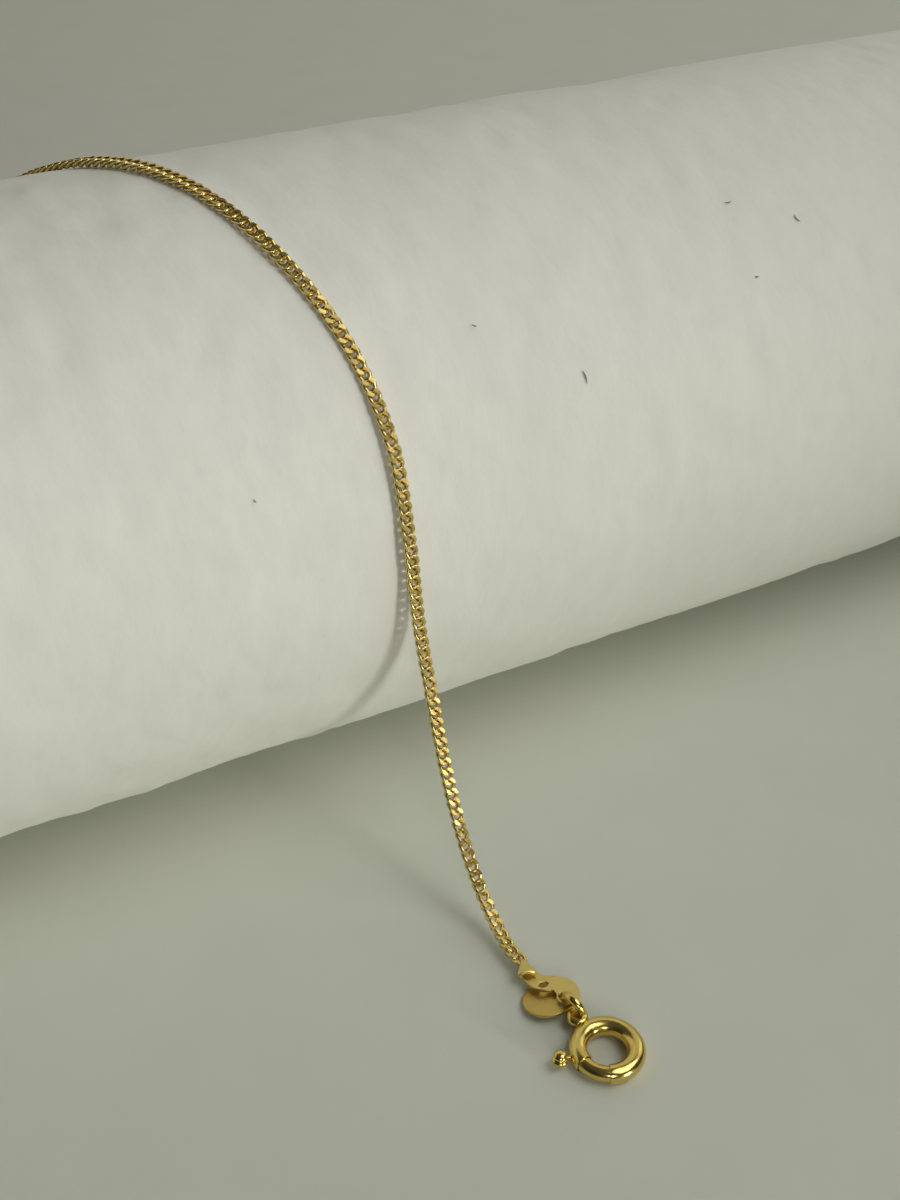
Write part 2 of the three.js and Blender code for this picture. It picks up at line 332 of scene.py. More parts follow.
class Shell:
    """Points, faces and marks gathered for one mesh, in millimetres."""

    def __init__(self):
        self.points = []
        self.faces = {3: [], 4: []}
        self.flat = {3: [], 4: []}
        self.paint = {3: [], 4: []}
        self.marks = []
        self.count = 0

    def add(self, points, quads=None, triangles=None, flat=None, flat_triangles=None, mark=0.0, paint=0):
        """Adds one closed part. flat names the faces that are shaded flat, and mark is a number
        for each point that a material may read. paint is the material's index."""
        points = np.asarray(points, float).reshape(-1, 3)
        self.points.append(points)
        self.marks.append(np.broadcast_to(np.asarray(mark, float).ravel(), len(points)))
        for corners, faces, crisp in ((4, quads, flat), (3, triangles, flat_triangles)):
            if faces is None or not len(faces):
                continue
            faces = np.asarray(faces)
            self.faces[corners].append(faces + self.count)
            crisp = np.zeros(len(faces), bool) if crisp is None else np.asarray(crisp, bool)
            self.flat[corners].append(np.broadcast_to(crisp, len(faces)))
            self.paint[corners].append(np.full(len(faces), paint))
        self.count += len(points)

    def add_tube(self, rings, ends, reverse=False, paint=0):
        """Adds a tube of rings of points, (rings, points, 3), each end closed on one point.
        reverse turns its faces over."""
        rows, columns = rings.shape[:2]
        quads, fans = grid_quads(rows, columns), pole_fans(rows, columns)
        if reverse:
            quads, fans = quads[:, ::-1], fans[:, ::-1]
        self.add(np.concatenate([rings.reshape(-1, 3), ends]), quads, fans, paint=paint)

    def build(self, name, materials, mark_name=None):
        """Puts the gathered arrays into a mesh object at the origin."""
        points = np.concatenate(self.points) * MM
        kinds = [corners for corners in (4, 3) if self.faces[corners]]
        corners = np.concatenate([np.concatenate(self.faces[k]).ravel() for k in kinds])
        sizes = np.concatenate([np.full(sum(map(len, self.faces[k])), k) for k in kinds])
        flat = np.concatenate([np.concatenate(self.flat[k]) for k in kinds])
        paint = np.concatenate([np.concatenate(self.paint[k]) for k in kinds])
        mesh = bpy.data.meshes.new(name)
        mesh.vertices.add(len(points))
        mesh.vertices.foreach_set("co", points.astype(np.float32).ravel())
        mesh.loops.add(len(corners))
        mesh.loops.foreach_set("vertex_index", corners.astype(np.int32))
        mesh.polygons.add(len(sizes))
        starts = np.concatenate([[0], np.cumsum(sizes)[:-1]])
        mesh.polygons.foreach_set("loop_start", starts.astype(np.int32))
        mesh.polygons.foreach_set("use_smooth", ~flat)
        for material in materials:
            mesh.materials.append(material)
        mesh.polygons.foreach_set("material_index", paint.astype(np.int32))
        if mark_name:
            layer = mesh.attributes.new(mark_name, "FLOAT", "POINT")
            layer.data.foreach_set("value", np.concatenate(self.marks).astype(np.float32))
        mesh.update(calc_edges=True)
        if mesh.validate():
            raise RuntimeError(f"{name} has faces that make no sense")
        piece = bpy.data.objects.new(name, mesh)
        bpy.context.scene.collection.objects.link(piece)
        return piece


def settle(piece, body, slot, *nodes):
    """Makes a finished piece ride on its body and stand for its CAD nodes, which it hides. slot is not used.
    """
    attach(piece, body)
    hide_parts(*nodes)


def torus(shell, centre, ring_radius, wire_radius, axis_x, axis_y, steps=72, sides=20):
    """Adds a round wire ring: a circle of wire_radius carried round a circle of ring_radius."""
    section = full_turn(sides)
    across = wire_radius * np.cos(section)
    lift = wire_radius * np.sin(section)
    points = ring_points(centre, full_turn(steps), ring_radius, across, lift, axis_x, axis_y)
    shell.add(points, grid_quads(steps, sides, wrap_rows=True)[:, ::-1])


def soft_noise(shape, spread, seed):
    """Smooth random heights on a grid, with mean 0 and deviation 1.

    White noise is multiplied, frequency by frequency, by a bell curve whose width is one over
    spread, the size of the bumps in grid steps along each side. It repeats at the grid's edges.
    """
    white = np.random.default_rng(seed).standard_normal(shape)
    along = np.fft.fftfreq(shape[0])[:, None] * spread[0]
    over = np.fft.rfftfreq(shape[1])[None, :] * spread[1]
    bell = np.exp(-2 * np.pi**2 * (along**2 + over**2))
    heights = np.fft.irfft2(np.fft.rfft2(white) * bell, s=shape)
    return (heights - heights.mean()) / heights.std()


# ------------------------------------------------------------------ materials

SCRATCH_DEPTH = 0.00006
FOAM_DULL = 0.96  # how light the foam's duller clouds and its painted shade in the dimples are, against the rest
TABLE_DULL = 0.975  # how light the table's mottling is, against the rest


def add_node(tree, kind, inputs=None, **values):
    """Adds a shader node. An input is given as a plain value or as the socket that feeds it."""
    node = tree.nodes.new(kind)
    for name, value in values.items():
        setattr(node, name, value)
    for name, value in (inputs or {}).items():
        if isinstance(value, bpy.types.NodeSocket):
            tree.links.new(value, node.inputs[name])
        else:
            node.inputs[name].default_value = value
    return node


def new_material(name):
    """A material with a bare Principled shader, its node tree and its object coordinates."""
    material = bpy.data.materials.new(name)
    material.use_nodes = True
    tree = material.node_tree
    tree.nodes.clear()
    shader = add_node(tree, "ShaderNodeBsdfPrincipled")
    output = add_node(tree, "ShaderNodeOutputMaterial")
    tree.links.new(shader.outputs["BSDF"], output.inputs["Surface"])
    place = add_node(tree, "ShaderNodeTexCoord").outputs["Object"]
    return material, tree, shader, place


def noise(tree, place, size, detail=2.0, roughness=0.5):
    """Noise whose features are about size millimetres across."""
    inputs = {"Vector": place, "Scale": 1 / (size * MM), "Detail": detail, "Roughness": roughness}
    return add_node(tree, "ShaderNodeTexNoise", inputs).outputs["Fac"]


def stretched(tree, place, x, y, z):
    """Coordinates scaled so that a pattern is drawn out x, y and z times along the axes."""
    inputs = {"Vector": place, "Scale": (1 / x, 1 / y, 1 / z)}
    return add_node(tree, "ShaderNodeMapping", inputs).outputs["Vector"]


def ranged(tree, value, low, high, to_low, to_high):
    """A value between low and high, turned into one between to_low and to_high."""
    inputs = {"Value": value, "From Min": low, "From Max": high, "To Min": to_low, "To Max": to_high}
    return add_node(tree, "ShaderNodeMapRange", inputs).outputs["Result"]


def mixed(tree, factor, first, second):
    """A colour between first and second."""
    node = add_node(tree, "ShaderNodeMix", data_type="RGBA")
    for index, value in ((0, factor), (6, first), (7, second)):
        if isinstance(value, bpy.types.NodeSocket):
            tree.links.new(value, node.inputs[index])
        elif index:
            node.inputs[index].default_value = (*value[:3], 1)
        else:
            node.inputs[index].default_value = value
    return node.outputs[2]


def bump(tree, height, distance, under=None):
    """Bumps that stand distance millimetres proud, over the bumps under them."""
    inputs = {"Height": height, "Distance": distance * MM}
    if under is not None:
        inputs["Normal"] = under
    return add_node(tree, "ShaderNodeBump", inputs).outputs["Normal"]


def gold_material(name, colour, shade, roughness, painted_recess_shade=None):
    """Polished yellow gold: clouded colour and gloss, fine scratches and a soft hand-made skin.

    shade is the colour that it dulls to in its clouds, which vary its tone at random, and the
    painted shade in the hollows that the mesh marks.
    """
    material, tree, shader, place = new_material(name)
    clouds = noise(tree, place, size=0.9)
    tint = mixed(tree, ranged(tree, clouds, 0.4, 0.75, 0, 0.3), colour, shade)
    # painted shade: where the mesh's mark is high, the gold darkens towards shade
    if painted_recess_shade:
        depth = add_node(tree, "ShaderNodeAttribute", attribute_name=painted_recess_shade).outputs["Fac"]
        tint = mixed(tree, depth, tint, shade)
    tree.links.new(tint, shader.inputs["Base Color"])
    gloss = ranged(tree, noise(tree, place, size=0.5), 0.3, 0.7, 0.85 * roughness, 1.2 * roughness)
    tree.links.new(gloss, shader.inputs["Roughness"])
    hairlines = noise(tree, stretched(tree, place, 9, 3, 3), size=0.035)
    skin = bump(tree, noise(tree, place, size=0.8, detail=1), distance=0.001)
    tree.links.new(bump(tree, hairlines, SCRATCH_DEPTH, skin), shader.inputs["Normal"])
    shader.inputs["Metallic"].default_value = 1.0
    return material


def foam_material(colour):
    """Soft white foam: shallow dimples drawn out round the roll, with painted shade in their hollows, fine
    grain and faint clouding.
    """
    material, tree, shader, place = new_material("white_foam_skin")
    dimples = noise(tree, stretched(tree, place, 1.0, 1.7, 1.7), size=1.1, roughness=0.45)
    grain = noise(tree, place, size=0.16, detail=3, roughness=0.6)
    clouds = noise(tree, place, size=14)
    dull = tuple(channel * FOAM_DULL for channel in colour[:3])
    # painted shade: the foam darkens towards dull where the dimples' bumps are low
    painted_dimple_shade = mixed(tree, ranged(tree, dimples, 0.25, 0.6, 0.8, 0), colour, dull)
    tint = mixed(tree, ranged(tree, clouds, 0.3, 0.7, 0, 0.5), painted_dimple_shade, dull)
    tree.links.new(tint, shader.inputs["Base Color"])
    relief = bump(tree, grain, distance=0.008, under=bump(tree, dimples, distance=0.045))
    tree.links.new(relief, shader.inputs["Normal"])
    shader.inputs["Roughness"].default_value = 0.85
    shader.inputs["Specular IOR Level"].default_value = 0.25
    return material


def lint_material():
    """Dark grey fibre."""
    material, tree, shader, place = new_material("lint_fibre")
    tint = mixed(tree, noise(tree, place, size=0.2), (0.14, 0.14, 0.12), (0.3, 0.29, 0.25))
    tree.links.new(tint, shader.inputs["Base Color"])
    shader.inputs["Roughness"].default_value = 0.9
    return material


def table_material(colour):
    """A pale matt table top with faint mottling."""
    material, tree, shader, place = new_material("pale_table")
    mottling = ranged(tree, noise(tree, place, size=9, detail=3), 0.3, 0.7, 0, 1)
    dull = tuple(channel * TABLE_DULL for channel in colour[:3])
    tree.links.new(mixed(tree, mottling, colour, dull), shader.inputs["Base Color"])
    grain = noise(tree, place, size=0.5, detail=3)
    tree.links.new(bump(tree, grain, distance=0.004), shader.inputs["Normal"])
    shader.inputs["Roughness"].default_value = 0.7
    shader.inputs["Specular IOR Level"].default_value = 0.2
    return material


# ------------------------------------------------------------------ settings


def length(name, description, millimetres):
    """A length property, whose default is given in millimetres."""
    return FloatProperty(
        name=name,
        description=description,
        default=millimetres * MM,
        min=0.0,
        unit="LENGTH",
        precision=6,
    )


def colour(name, description, red, green, blue):
    """A colour property in linear light."""
    return FloatVectorProperty(
        name=name,
        description=description,
        default=(red, green, blue),
        min=0.0,
        max=1.0,
        subtype="COLOR",
    )


def in_mm(group, *names):
    """The named lengths of a property group, in millimetres."""
    return [getattr(group, name) / MM for name in names]


class LinkSettings(bpy.types.PropertyGroup):
    """The curb links."""

    pitch: length("Pitch", "Distance from one link to the next", 0.868)
    half_length: length("Half length", "From a link's middle to the wire at its end", 0.64)
    half_width: length("Half width", "From a link's middle to the wire at its side", 0.42)
    twist_height: length("Twist height", "How far a link's sides are twisted out of its plane", 0.2)
    wire_radius: length("Wire radius", "Radius of the links' wire", 0.18)
    cut_height: length("Cut height", "Height above a link's middle at which it is cut flat", 0.3)


class GoldSettings(bpy.types.PropertyGroup):
    """The gold."""

    colour: colour("Gold", "Colour of the links' polished gold", 0.80, 0.64, 0.25)
    clasp_colour: colour("Clasp gold", "Colour of the clasp and the rings", 0.80, 0.61, 0.18)
    # shade is also the painted shade on the links' insides
    shade: colour("Shaded gold", "Colour of the gold where it is duller", 0.66, 0.46, 0.12)
    tag_colour: colour("Tag gold", "Colour of the thin tags", 0.78, 0.60, 0.21)
    tag_shade: colour("Shaded tag gold", "Colour of the tags where they are duller", 0.68, 0.49, 0.15)


class TagSettings(bpy.types.PropertyGroup):
    """The two tags."""

    plate: length("Plate thickness", "Thickness of the end tag's plate", 0.22)
    disc: length("Disc thickness", "Thickness of the round tag", 0.22)
    edge: length("Edge", "Radius that the plates' edges are rounded to", 0.05)
    strip: length("Tongue thickness", "Thickness of the end tag's folded tongue", 0.2)


class ClaspSettings(bpy.types.PropertyGroup):
    """The spring-ring clasp."""

    tube_radius: length("Tube radius", "Radius of the ring's round tube", 0.715)
    bore_radius: length("Bore radius", "Radius of the bore that the bolt slides in", 0.64)
    rod_radius: length("Bolt radius", "Radius of the bolt", 0.6)
    knob_radius: length("Knob radius", "Radius of the thumb knob", 0.53)
    jump_wire: length("Jump ring wire", "Radius of the jump ring's wire", 0.34)
    catch_wire: length("Catch ring wire", "Radius of the catch ring's wire", 0.24)


class RollSettings(bpy.types.PropertyGroup):
    """The display roll."""

    skin: length("Skin", "How far the foam's skin stands outside its core", 0.43)
    edge_round: length("Edge", "Radius that the roll's ends are rounded to", 3.0)
    wave_height: length("Wave height", "Height of the broad uneven waves", 0.09)
    dimple_height: length("Dimple height", "Height of the small dimples", 0.055)
    colour: colour("Foam", "Colour of the foam", 0.80, 0.795, 0.70)


class StageSettings(bpy.types.PropertyGroup):
    """The table and the air round it."""

    table: colour("Table", "Colour of the table top", 0.66, 0.68, 0.575)
    air: colour("Air", "Colour of the room's own light", 0.03, 0.03, 0.028)
    table_side: length("Table side", "Length of the table top's sides", 4000)


class ChainSettings(bpy.types.PropertyGroup):
    """All of the settings."""

    links: PointerProperty(type=LinkSettings)
    gold: PointerProperty(type=GoldSettings)
    tags: PointerProperty(type=TagSettings)
    clasp: PointerProperty(type=ClaspSettings)
    roll: PointerProperty(type=RollSettings)
    stage: PointerProperty(type=StageSettings)


# ------------------------------------------------------------------ the stage

CAMERA_PLACE = (-70.0, -110.741, 92.107)
CAMERA_TURN = 28.03  # degrees from +Y towards +X
CAMERA_DIP = 35.69  # degrees below level
CAMERA_LENS = 45.0

TABLE_GAP = 0.02  # keeps the table clear of what lies on it
TABLE_POINTS = 9  # along each side of the table's grid

LIGHT_AWAY = 600.0  # from what a light is turned to
AIM_HEIGHT = 12.0
# Round lamps, each of which lights a soft pool round the point that it is aimed at.
LAMPS = (
    # name, degrees from -Y towards +X, degrees up, aim x, aim y, cone, radius, watts
    ("window_right", 22, 9, -60, -20, 18, 95, 10.8),
    ("window_left", -18, 26, -5, -5, 26, 95, 2.2),
)
PANEL_AIM = (-20.0, -35.0)
# Plain panels that light everything.
PANELS = (
    # name, degrees from -Y towards +X, degrees up, width, height, watts, colour
    ("back_wall", 150, 25, 1400, 800, 1.8, (1.0, 0.965, 0.86)),
    ("ceiling", 0, 85, 900, 900, 0.1, (1.0, 1.0, 1.0)),
    ("window_high", 52, 58, 410, 390, 1.2, (1.0, 1.0, 1.0)),
    ("window_side", 94, 30, 300, 350, 0.18, (1.0, 1.0, 1.0)),
)


def direction(azimuth, elevation):
    """The unit vector towards a place azimuth degrees from -Y towards +X and elevation up."""
    turn, rise = np.radians([azimuth, elevation])
    return np.array([np.sin(turn) * np.cos(rise), -np.cos(turn) * np.cos(rise), np.sin(rise)])


def place_light(name, light, azimuth, elevation, aim):
    """Puts a light at its distance from the point that it is aimed at, and turns it there."""
    towards = direction(azimuth, elevation)
    place = Vector((np.array([*aim, AIM_HEIGHT]) + LIGHT_AWAY * towards) * MM)
    turn = Vector(towards).to_track_quat("Z", "Y")
    lamp = bpy.data.objects.new(name, light)
    lamp.matrix_world = Matrix.LocRotScale(place, turn, None)
    bpy.context.scene.collection.objects.link(lamp)


def add_lights():
    """The soft lamps and panels round the object."""
    for name, azimuth, elevation, x, y, cone, radius, watts in LAMPS:
        light = bpy.data.lights.new(name, "SPOT")
        light.energy = watts
        light.shadow_soft_size = radius * MM
        light.spot_size = np.radians(cone)
        light.spot_blend = 1.0
        place_light(name, light, azimuth, elevation, (x, y))
    for name, azimuth, elevation, width, height, watts, tint in PANELS:
        light = bpy.data.lights.new(name, "AREA")
        light.energy = watts
        light.color = tint
        light.shape = "RECTANGLE"
        light.size = width * MM
        light.size_y = height * MM
        place_light(name, light, azimuth, elevation, PANEL_AIM)


def add_camera():
    """The camera, level across and dipped towards the clasp."""
    lens = bpy.data.cameras.new("camera")
    lens.lens = CAMERA_LENS
    lens.clip_start = 0.005
    lens.clip_end = 20.0
    camera = bpy.data.objects.new("camera", lens)
    camera.location = Vector(CAMERA_PLACE) * MM
    camera.rotation_euler = np.radians([90 - CAMERA_DIP, 0, -CAMERA_TURN])
    bpy.context.scene.collection.objects.link(camera)
    bpy.context.scene.camera = camera


class CURB_CHAIN_OT_stage(bpy.types.Operator):
    """Adds the table top, the lights, the room's own light and the camera"""

    bl_idname = "curb_chain.stage"
    bl_label = "Stage"

    def execute(self, context):
        """The table top is a square grid of points at z = -TABLE_GAP, round the origin."""
        settings = context.scene.curb_chain.stage
        (side,) = in_mm(settings, "table_side")
        steps = np.linspace(-side / 2, side / 2, TABLE_POINTS)
        x, y = np.meshgrid(steps, steps, indexing="ij")
        shell = Shell()
        quads = grid_quads(TABLE_POINTS, TABLE_POINTS, wrap_columns=False)[:, ::-1]
        shell.add(np.stack([x, y, np.full_like(x, -TABLE_GAP)], axis=-1), quads)
        table = shell.build("table_top", [table_material(settings.table)])
        add_lights()
        world = bpy.data.worlds.new("room")
        world.use_nodes = True
        background = world.node_tree.nodes["Background"]
        background.inputs["Color"].default_value = (*settings.air, 1)
        background.inputs["Strength"].default_value = 1.0
        context.scene.world = world
        context.scene.view_settings.view_transform = "Standard"
        context.scene.view_settings.look = "None"
        add_camera()
        return {"FINISHED"}


# ------------------------------------------------------------------ the display roll

ROLL_STEP = 0.8  # between points along the roll's side
ROLL_SIDES = 204  # points round the roll
ROLL_CORNER_POINTS = 7  # along the rounding of its ends
WAVE_SPREAD = (5.0, 6.0)  # of the broad waves, in points along the roll and round it
WAVE_SEED = 11
DIMPLE_SPREAD = (0.9, 1.5)
DIMPLE_SEED = 12
DENTS_START = 0.3  # the share of the roll's radius inside which its ends aren't dented

# Stray fibres on the foam.
LINT = (
    # x, degrees from the roll's top, length, degrees from the roll's length, bend
    (12.9, 42.0, 0.8, 70.0, 0.25),
    (7.0, 36.0, 0.65, 0.0, 0.1),
    (-11.2, 61.0, 1.1, 82.0, -0.1),
    (-19.2, 48.0, 0.4, 30.0, 0.2),
    (6.9, 51.0, 0.4, 10.0, 0.2),
    (-39.5, 67.0, 0.3, 60.0, 0.1),
)
LINT_RADIUS = 0.055
LINT_ROWS = 9
LINT_SIDES = 6
LINT_TIP = 0.02  # the square of the share of its radius that a fibre keeps at its tips


def roll_profile(half, radius, edge, step):
    """The roll's outline from one end's middle to the other's: x along it and r from its axis.

    A straight line out from the axis, a quarter circle of radius edge, a straight line along the
    side, and the same back. Points are about step apart along the side, and twice that on the
    ends.
    """
    out = np.arange(step, radius - edge, 2 * step)
    flat_end = np.full(len(out), half)
    bend = np.linspace(0, np.pi / 2, ROLL_CORNER_POINTS)
    corner_x = -half + edge - edge * np.cos(bend)
    corner_r = radius - edge + edge * np.sin(bend)
    along = np.linspace(-half + edge, half - edge, int(round(2 * (half - edge) / step)) + 1)[1:-1]
    x = np.concatenate([-flat_end, corner_x, along, -corner_x[::-1], flat_end])
    r = np.concatenate([out, corner_r, np.full(len(along), radius), corner_r[::-1], out[::-1]])
    return x, r


def add_lint(shell, radius):
    """Stray fibres on the roll: short bent tubes that lie on its skin.

    A fibre's middle line is a parabola in the flattened skin, wrapped round the roll, and its
    round section narrows to both ends.
    """
    steps = np.linspace(-1, 1, LINT_ROWS)
    section = full_turn(LINT_SIDES)
    taper = np.sqrt(np.clip(1 - steps**2, LINT_TIP, None))[:, None] * LINT_RADIUS
    for x, degrees, size, heading, bend in LINT:
        way = np.radians(heading)
        run = steps * size / 2
        sag = bend * size * (1 - steps**2)
        along = x + run * np.cos(way) - sag * np.sin(way)
        turn = np.radians(degrees) + (run * np.sin(way) + sag * np.cos(way)) / radius
        out = np.column_stack([np.zeros(LINT_ROWS), -np.sin(turn), np.cos(turn)])
        middle = along[:, None] * (1, 0, 0) + ROLL_AXIS_HEIGHT * UP + out * radius
        forward = unit(np.gradient(middle, axis=0))
        side = np.cross(out, forward)
        rings = around(middle, side, out, taper * np.cos(section), taper * np.sin(section))
        shell.add_tube(rings, middle[[0, -1]], paint=1)


class CURB_CHAIN_OT_display_roll(bpy.types.Operator):
    """Builds the soft white roll that the chain lies over"""

    bl_idname = "curb_chain.display_roll"
    bl_label = "Display roll"

    def execute(self, context):
        """The profile turned round the axis, with waves and dimples pressed into it, and cut off
        at the table: a point lies r - dent from the axis, at an angle, and never below z = 0."""
        settings = context.scene.curb_chain.roll
        skin, edge, wave, dimple = in_mm(settings, "skin", "edge_round", "wave_height", "dimple_height")
        radius = ROLL_HIGH[1] + skin
        x, r = roll_profile(ROLL_HIGH[0], radius, edge, ROLL_STEP)
        turn = full_turn(ROLL_SIDES)
        waves = soft_noise((len(x), ROLL_SIDES), WAVE_SPREAD, WAVE_SEED)
        dimples = soft_noise((len(x), ROLL_SIDES), DIMPLE_SPREAD, DIMPLE_SEED)
        on_side = smooth_step(DENTS_START, 1.0, r / radius)[:, None]
        dent = on_side * np.clip(wave * (1 + waves) + dimple * (1 + dimples), 0, None)
        reach = r[:, None] - dent
        y = -reach * np.sin(turn)
        z = np.maximum(ROLL_AXIS_HEIGHT + reach * np.cos(turn), 0)
        rings = np.stack([np.broadcast_to(x[:, None], y.shape), y, z], axis=-1)
        shell = Shell()
        shell.add_tube(rings, [[x[0], 0, ROLL_AXIS_HEIGHT], [x[-1], 0, ROLL_AXIS_HEIGHT]])
        add_lint(shell, radius)
        piece = shell.build("foam_roll", [foam_material(settings.colour), lint_material()])
        settle(piece, DISPLAY, "white_foam", "display_roll")
        return {"FINISHED"}


# ------------------------------------------------------------------ the curb links

LINK_STATIONS = np.radians([quarter + turn for quarter in (0, 90, 180, 270) for turn in (21, 45, 69)])
LINK_SECTION = np.radians([30, 90, 150, 210, 270, 330])  # from up, towards the link's outside
TOP_FACE, BOTTOM_FACE = 5, 2  # the sides of the section that the flat cuts widen
CUT_REACH = 0.03  # how near the cut the wire's crown has to come to be part of the flat
FIRST_LINK = 0.49  # from the route's start to the first link's middle
LAID_DOWN = (158.0, 168.0)  # mm along the route, between which the chain settles on the table
LYING_GAP = 0.065  # between the lying links and the table, for the links' play

# One more link holds the end tag, and one the catch ring.
END_LINK_PLACE = (-28.13, -43.74, 0.76)
END_LINK_WAY = (-0.04, -1.0, 0.0)
END_LINK_SCALE = (0.98, 1.1, 0.9)
CATCH_LINK_SCALE = (1.5, 1.1, 1.0)  # of the link that stands on its edge through the catch ring
CATCH_RISE = 0.33  # how far the chain rises to that link
CATCH_RISE_SPAN = (4.0, 0.8)  # from the route's end, between which it rises

PLAY_SEED = 5
PLAY_TURN = 1.3  # degrees about the chain
PLAY_SHIFT = 0.008
TIPPED_LIFT = 0.55  # the share of its half width by which a link on its edge clears the foam
OFF_ROLL = (0.1, 0.6)  # past the lay radius, where the chain leaves the foam


def link_shape(half_length, half_width, height, wire, cut):
    """One curb link about its own middle, x along the chain, y across it and z up.

    Its middle line is an oval whose sides are twisted: x = half_length cos t,
    y = half_width sin t, z = -height sin 2t. The wire's section has six sides, and what stands
    above or below the cut height is cut flat. Returns the points, which faces are cut flat, and
    a mark that is 1 on the inside of the oval and 0 on its outside, which the gold reads to
    paint shade on the links' insides.
    """
    t = LINK_STATIONS
    middle = np.column_stack([half_length * np.cos(t), half_width * np.sin(t), -height * np.sin(2 * t)])
    forward = unit(np.column_stack([
        -half_length * np.sin(t), half_width * np.cos(t), -2 * height * np.cos(2 * t)
    ]))
    up = unit(UP - forward * forward[:, 2:])
    out = np.cross(forward, up)
    angles = np.tile(LINK_SECTION, (len(t), 1))
    crown = middle[:, 2]
    top = np.maximum(LINK_SECTION[0], np.arccos(np.clip((cut - crown) / wire, -1, 1)))
    bottom = np.maximum(LINK_SECTION[0], np.arccos(np.clip((cut + crown) / wire, -1, 1)))
    angles[:, 0], angles[:, 5] = top, -top
    angles[:, 2], angles[:, 3] = np.pi - bottom, np.pi + bottom
    points = around(middle, out, up, wire * np.sin(angles), wire * np.cos(angles))
    above = crown + wire > cut - CUT_REACH
    below = crown - wire < CUT_REACH - cut
    points[:, [0, 5], 2] = np.where(above[:, None], cut, points[:, [0, 5], 2])
    points[:, [2, 3], 2] = np.where(below[:, None], -cut, points[:, [2, 3], 2])
    flat = np.zeros(angles.shape, bool)
    flat[:, TOP_FACE] = above & np.roll(above, -1)
    flat[:, BOTTOM_FACE] = below & np.roll(below, -1)
    inside = np.clip(-np.sin(angles), 0, 1)
    return points.reshape(-1, 3), flat.ravel(), inside.ravel()


def link_places(pitch, cut):
    """The links' middles, and the ways that they run and face, before their play.

    Links lie at equal distances along the route, and run back towards the end tag. On the table
    they settle until their cut faces are LYING_GAP above it, and the last of them rise to the
    link that stands on its edge through the catch ring.
    """
    line, along = chain_route()
    end = along[-1]
    distance = FIRST_LINK + pitch * np.arange(int(end / pitch))
    middle = at_distance(distance, along, line)
    run = at_distance(distance - SLOPE_REACH, along, line) - at_distance(distance + SLOPE_REACH, along, line)
    rise = smooth_step(end - CATCH_RISE_SPAN[0], end - CATCH_RISE_SPAN[1], distance)
    settled = smooth_step(*LAID_DOWN, distance) * (TABLE_HEIGHT - cut - LYING_GAP)
    middle[:, 2] += CATCH_RISE * rise - settled
    last = line[-1] * (1, 1, 0) + (cut + LYING_GAP + CATCH_RISE) * UP
    middle = np.concatenate([[END_LINK_PLACE], middle, [last]])
    run = unit(np.concatenate([[END_LINK_WAY], run, run[-1:]]))
    face = at_distance(np.concatenate([[0], distance, [end]]), *facing_rows(line, along))
    face[-1] = np.cross(UP, run[-1])
    return middle, run, face


def with_play(middle, run, face):
    """The links' middles and facings with a little seeded play: a turn about the chain, and a
    shift in any direction."""
    draws = np.random.default_rng(PLAY_SEED)
    turn, _ = draws.standard_normal((2, len(middle), 1))  # the second row isn't used
    face = face + np.radians(PLAY_TURN) * turn * np.cross(face, run)
    return middle + PLAY_SHIFT * draws.standard_normal(middle.shape), unit(squared(face, run))


def off_the_foam(middle, face, half_width):
    """The links' middles, lifted where a link lies tipped on the roll, so that it doesn't dig in.

    The lift is TIPPED_LIFT * half_width * sin b away from the roll's axis, where b is the angle
    between the link's flat face and the foam.
    """
    out = middle * (0, 1, 1) - ROLL_AXIS_HEIGHT * UP
    reach = np.linalg.norm(out, axis=1, keepdims=True)
    on_roll = 1 - smooth_step(LAY_RADIUS + OFF_ROLL[0], LAY_RADIUS + OFF_ROLL[1], reach)
    out = out / reach
    tipped = np.sqrt(np.clip(1 - (face * out).sum(1, keepdims=True) ** 2, 0, 1))
    return middle + TIPPED_LIFT * half_width * on_roll * tipped * out


class CURB_CHAIN_OT_links(bpy.types.Operator):
    """Builds the chain's interlocking curb links along its route"""

    bl_idname = "curb_chain.links"
    bl_label = "Curb links"

    def execute(self, context):
        """One link shape, set at each link's place: a point (x, y, z) of the shape goes to
        middle + x run + y side + z face. Each link is threaded through the next by its twist."""
        settings = context.scene.curb_chain
        pitch, half_length, half_width, height, wire, cut = in_mm(
            settings.links, "pitch", "half_length", "half_width", "twist_height", "wire_radius", "cut_height"
        )
        shape, flat, inside = link_shape(half_length, half_width, height, wire, cut)
        middle, run, face = link_places(pitch, cut)
        middle, face = with_play(middle, run, face)
        middle = off_the_foam(middle, face, half_width + wire)
        count = len(middle)
        scale = np.ones((count, 1, 3))
        scale[0] = END_LINK_SCALE
        scale[-1] = CATCH_LINK_SCALE
        x, y, z = np.moveaxis(shape * scale, -1, 0)[..., None]
        side = np.cross(face, run)
        points = middle[:, None] + x * run[:, None] + y * side[:, None] + z * face[:, None]
        one = grid_quads(len(LINK_STATIONS), len(LINK_SECTION), wrap_rows=True)
        quads = one + len(shape) * np.arange(count)[:, None, None]
        shell = Shell()
        shell.add(points, quads.reshape(-1, 4), flat=np.tile(flat, count), mark=np.tile(inside, count))
        gold = settings.gold
        # the links' insides darken towards the shaded gold by their mark: painted shade
        finish = gold_material("chain_gold_skin", gold.colour, gold.shade, 0.24, painted_recess_shade="painted_recess_shade")
        piece = shell.build("curb_links", [finish], "painted_recess_shade")
        settle(piece, DISPLAY, "chain_gold", "chain")
        return {"FINISHED"}


# ------------------------------------------------------------------ the tags

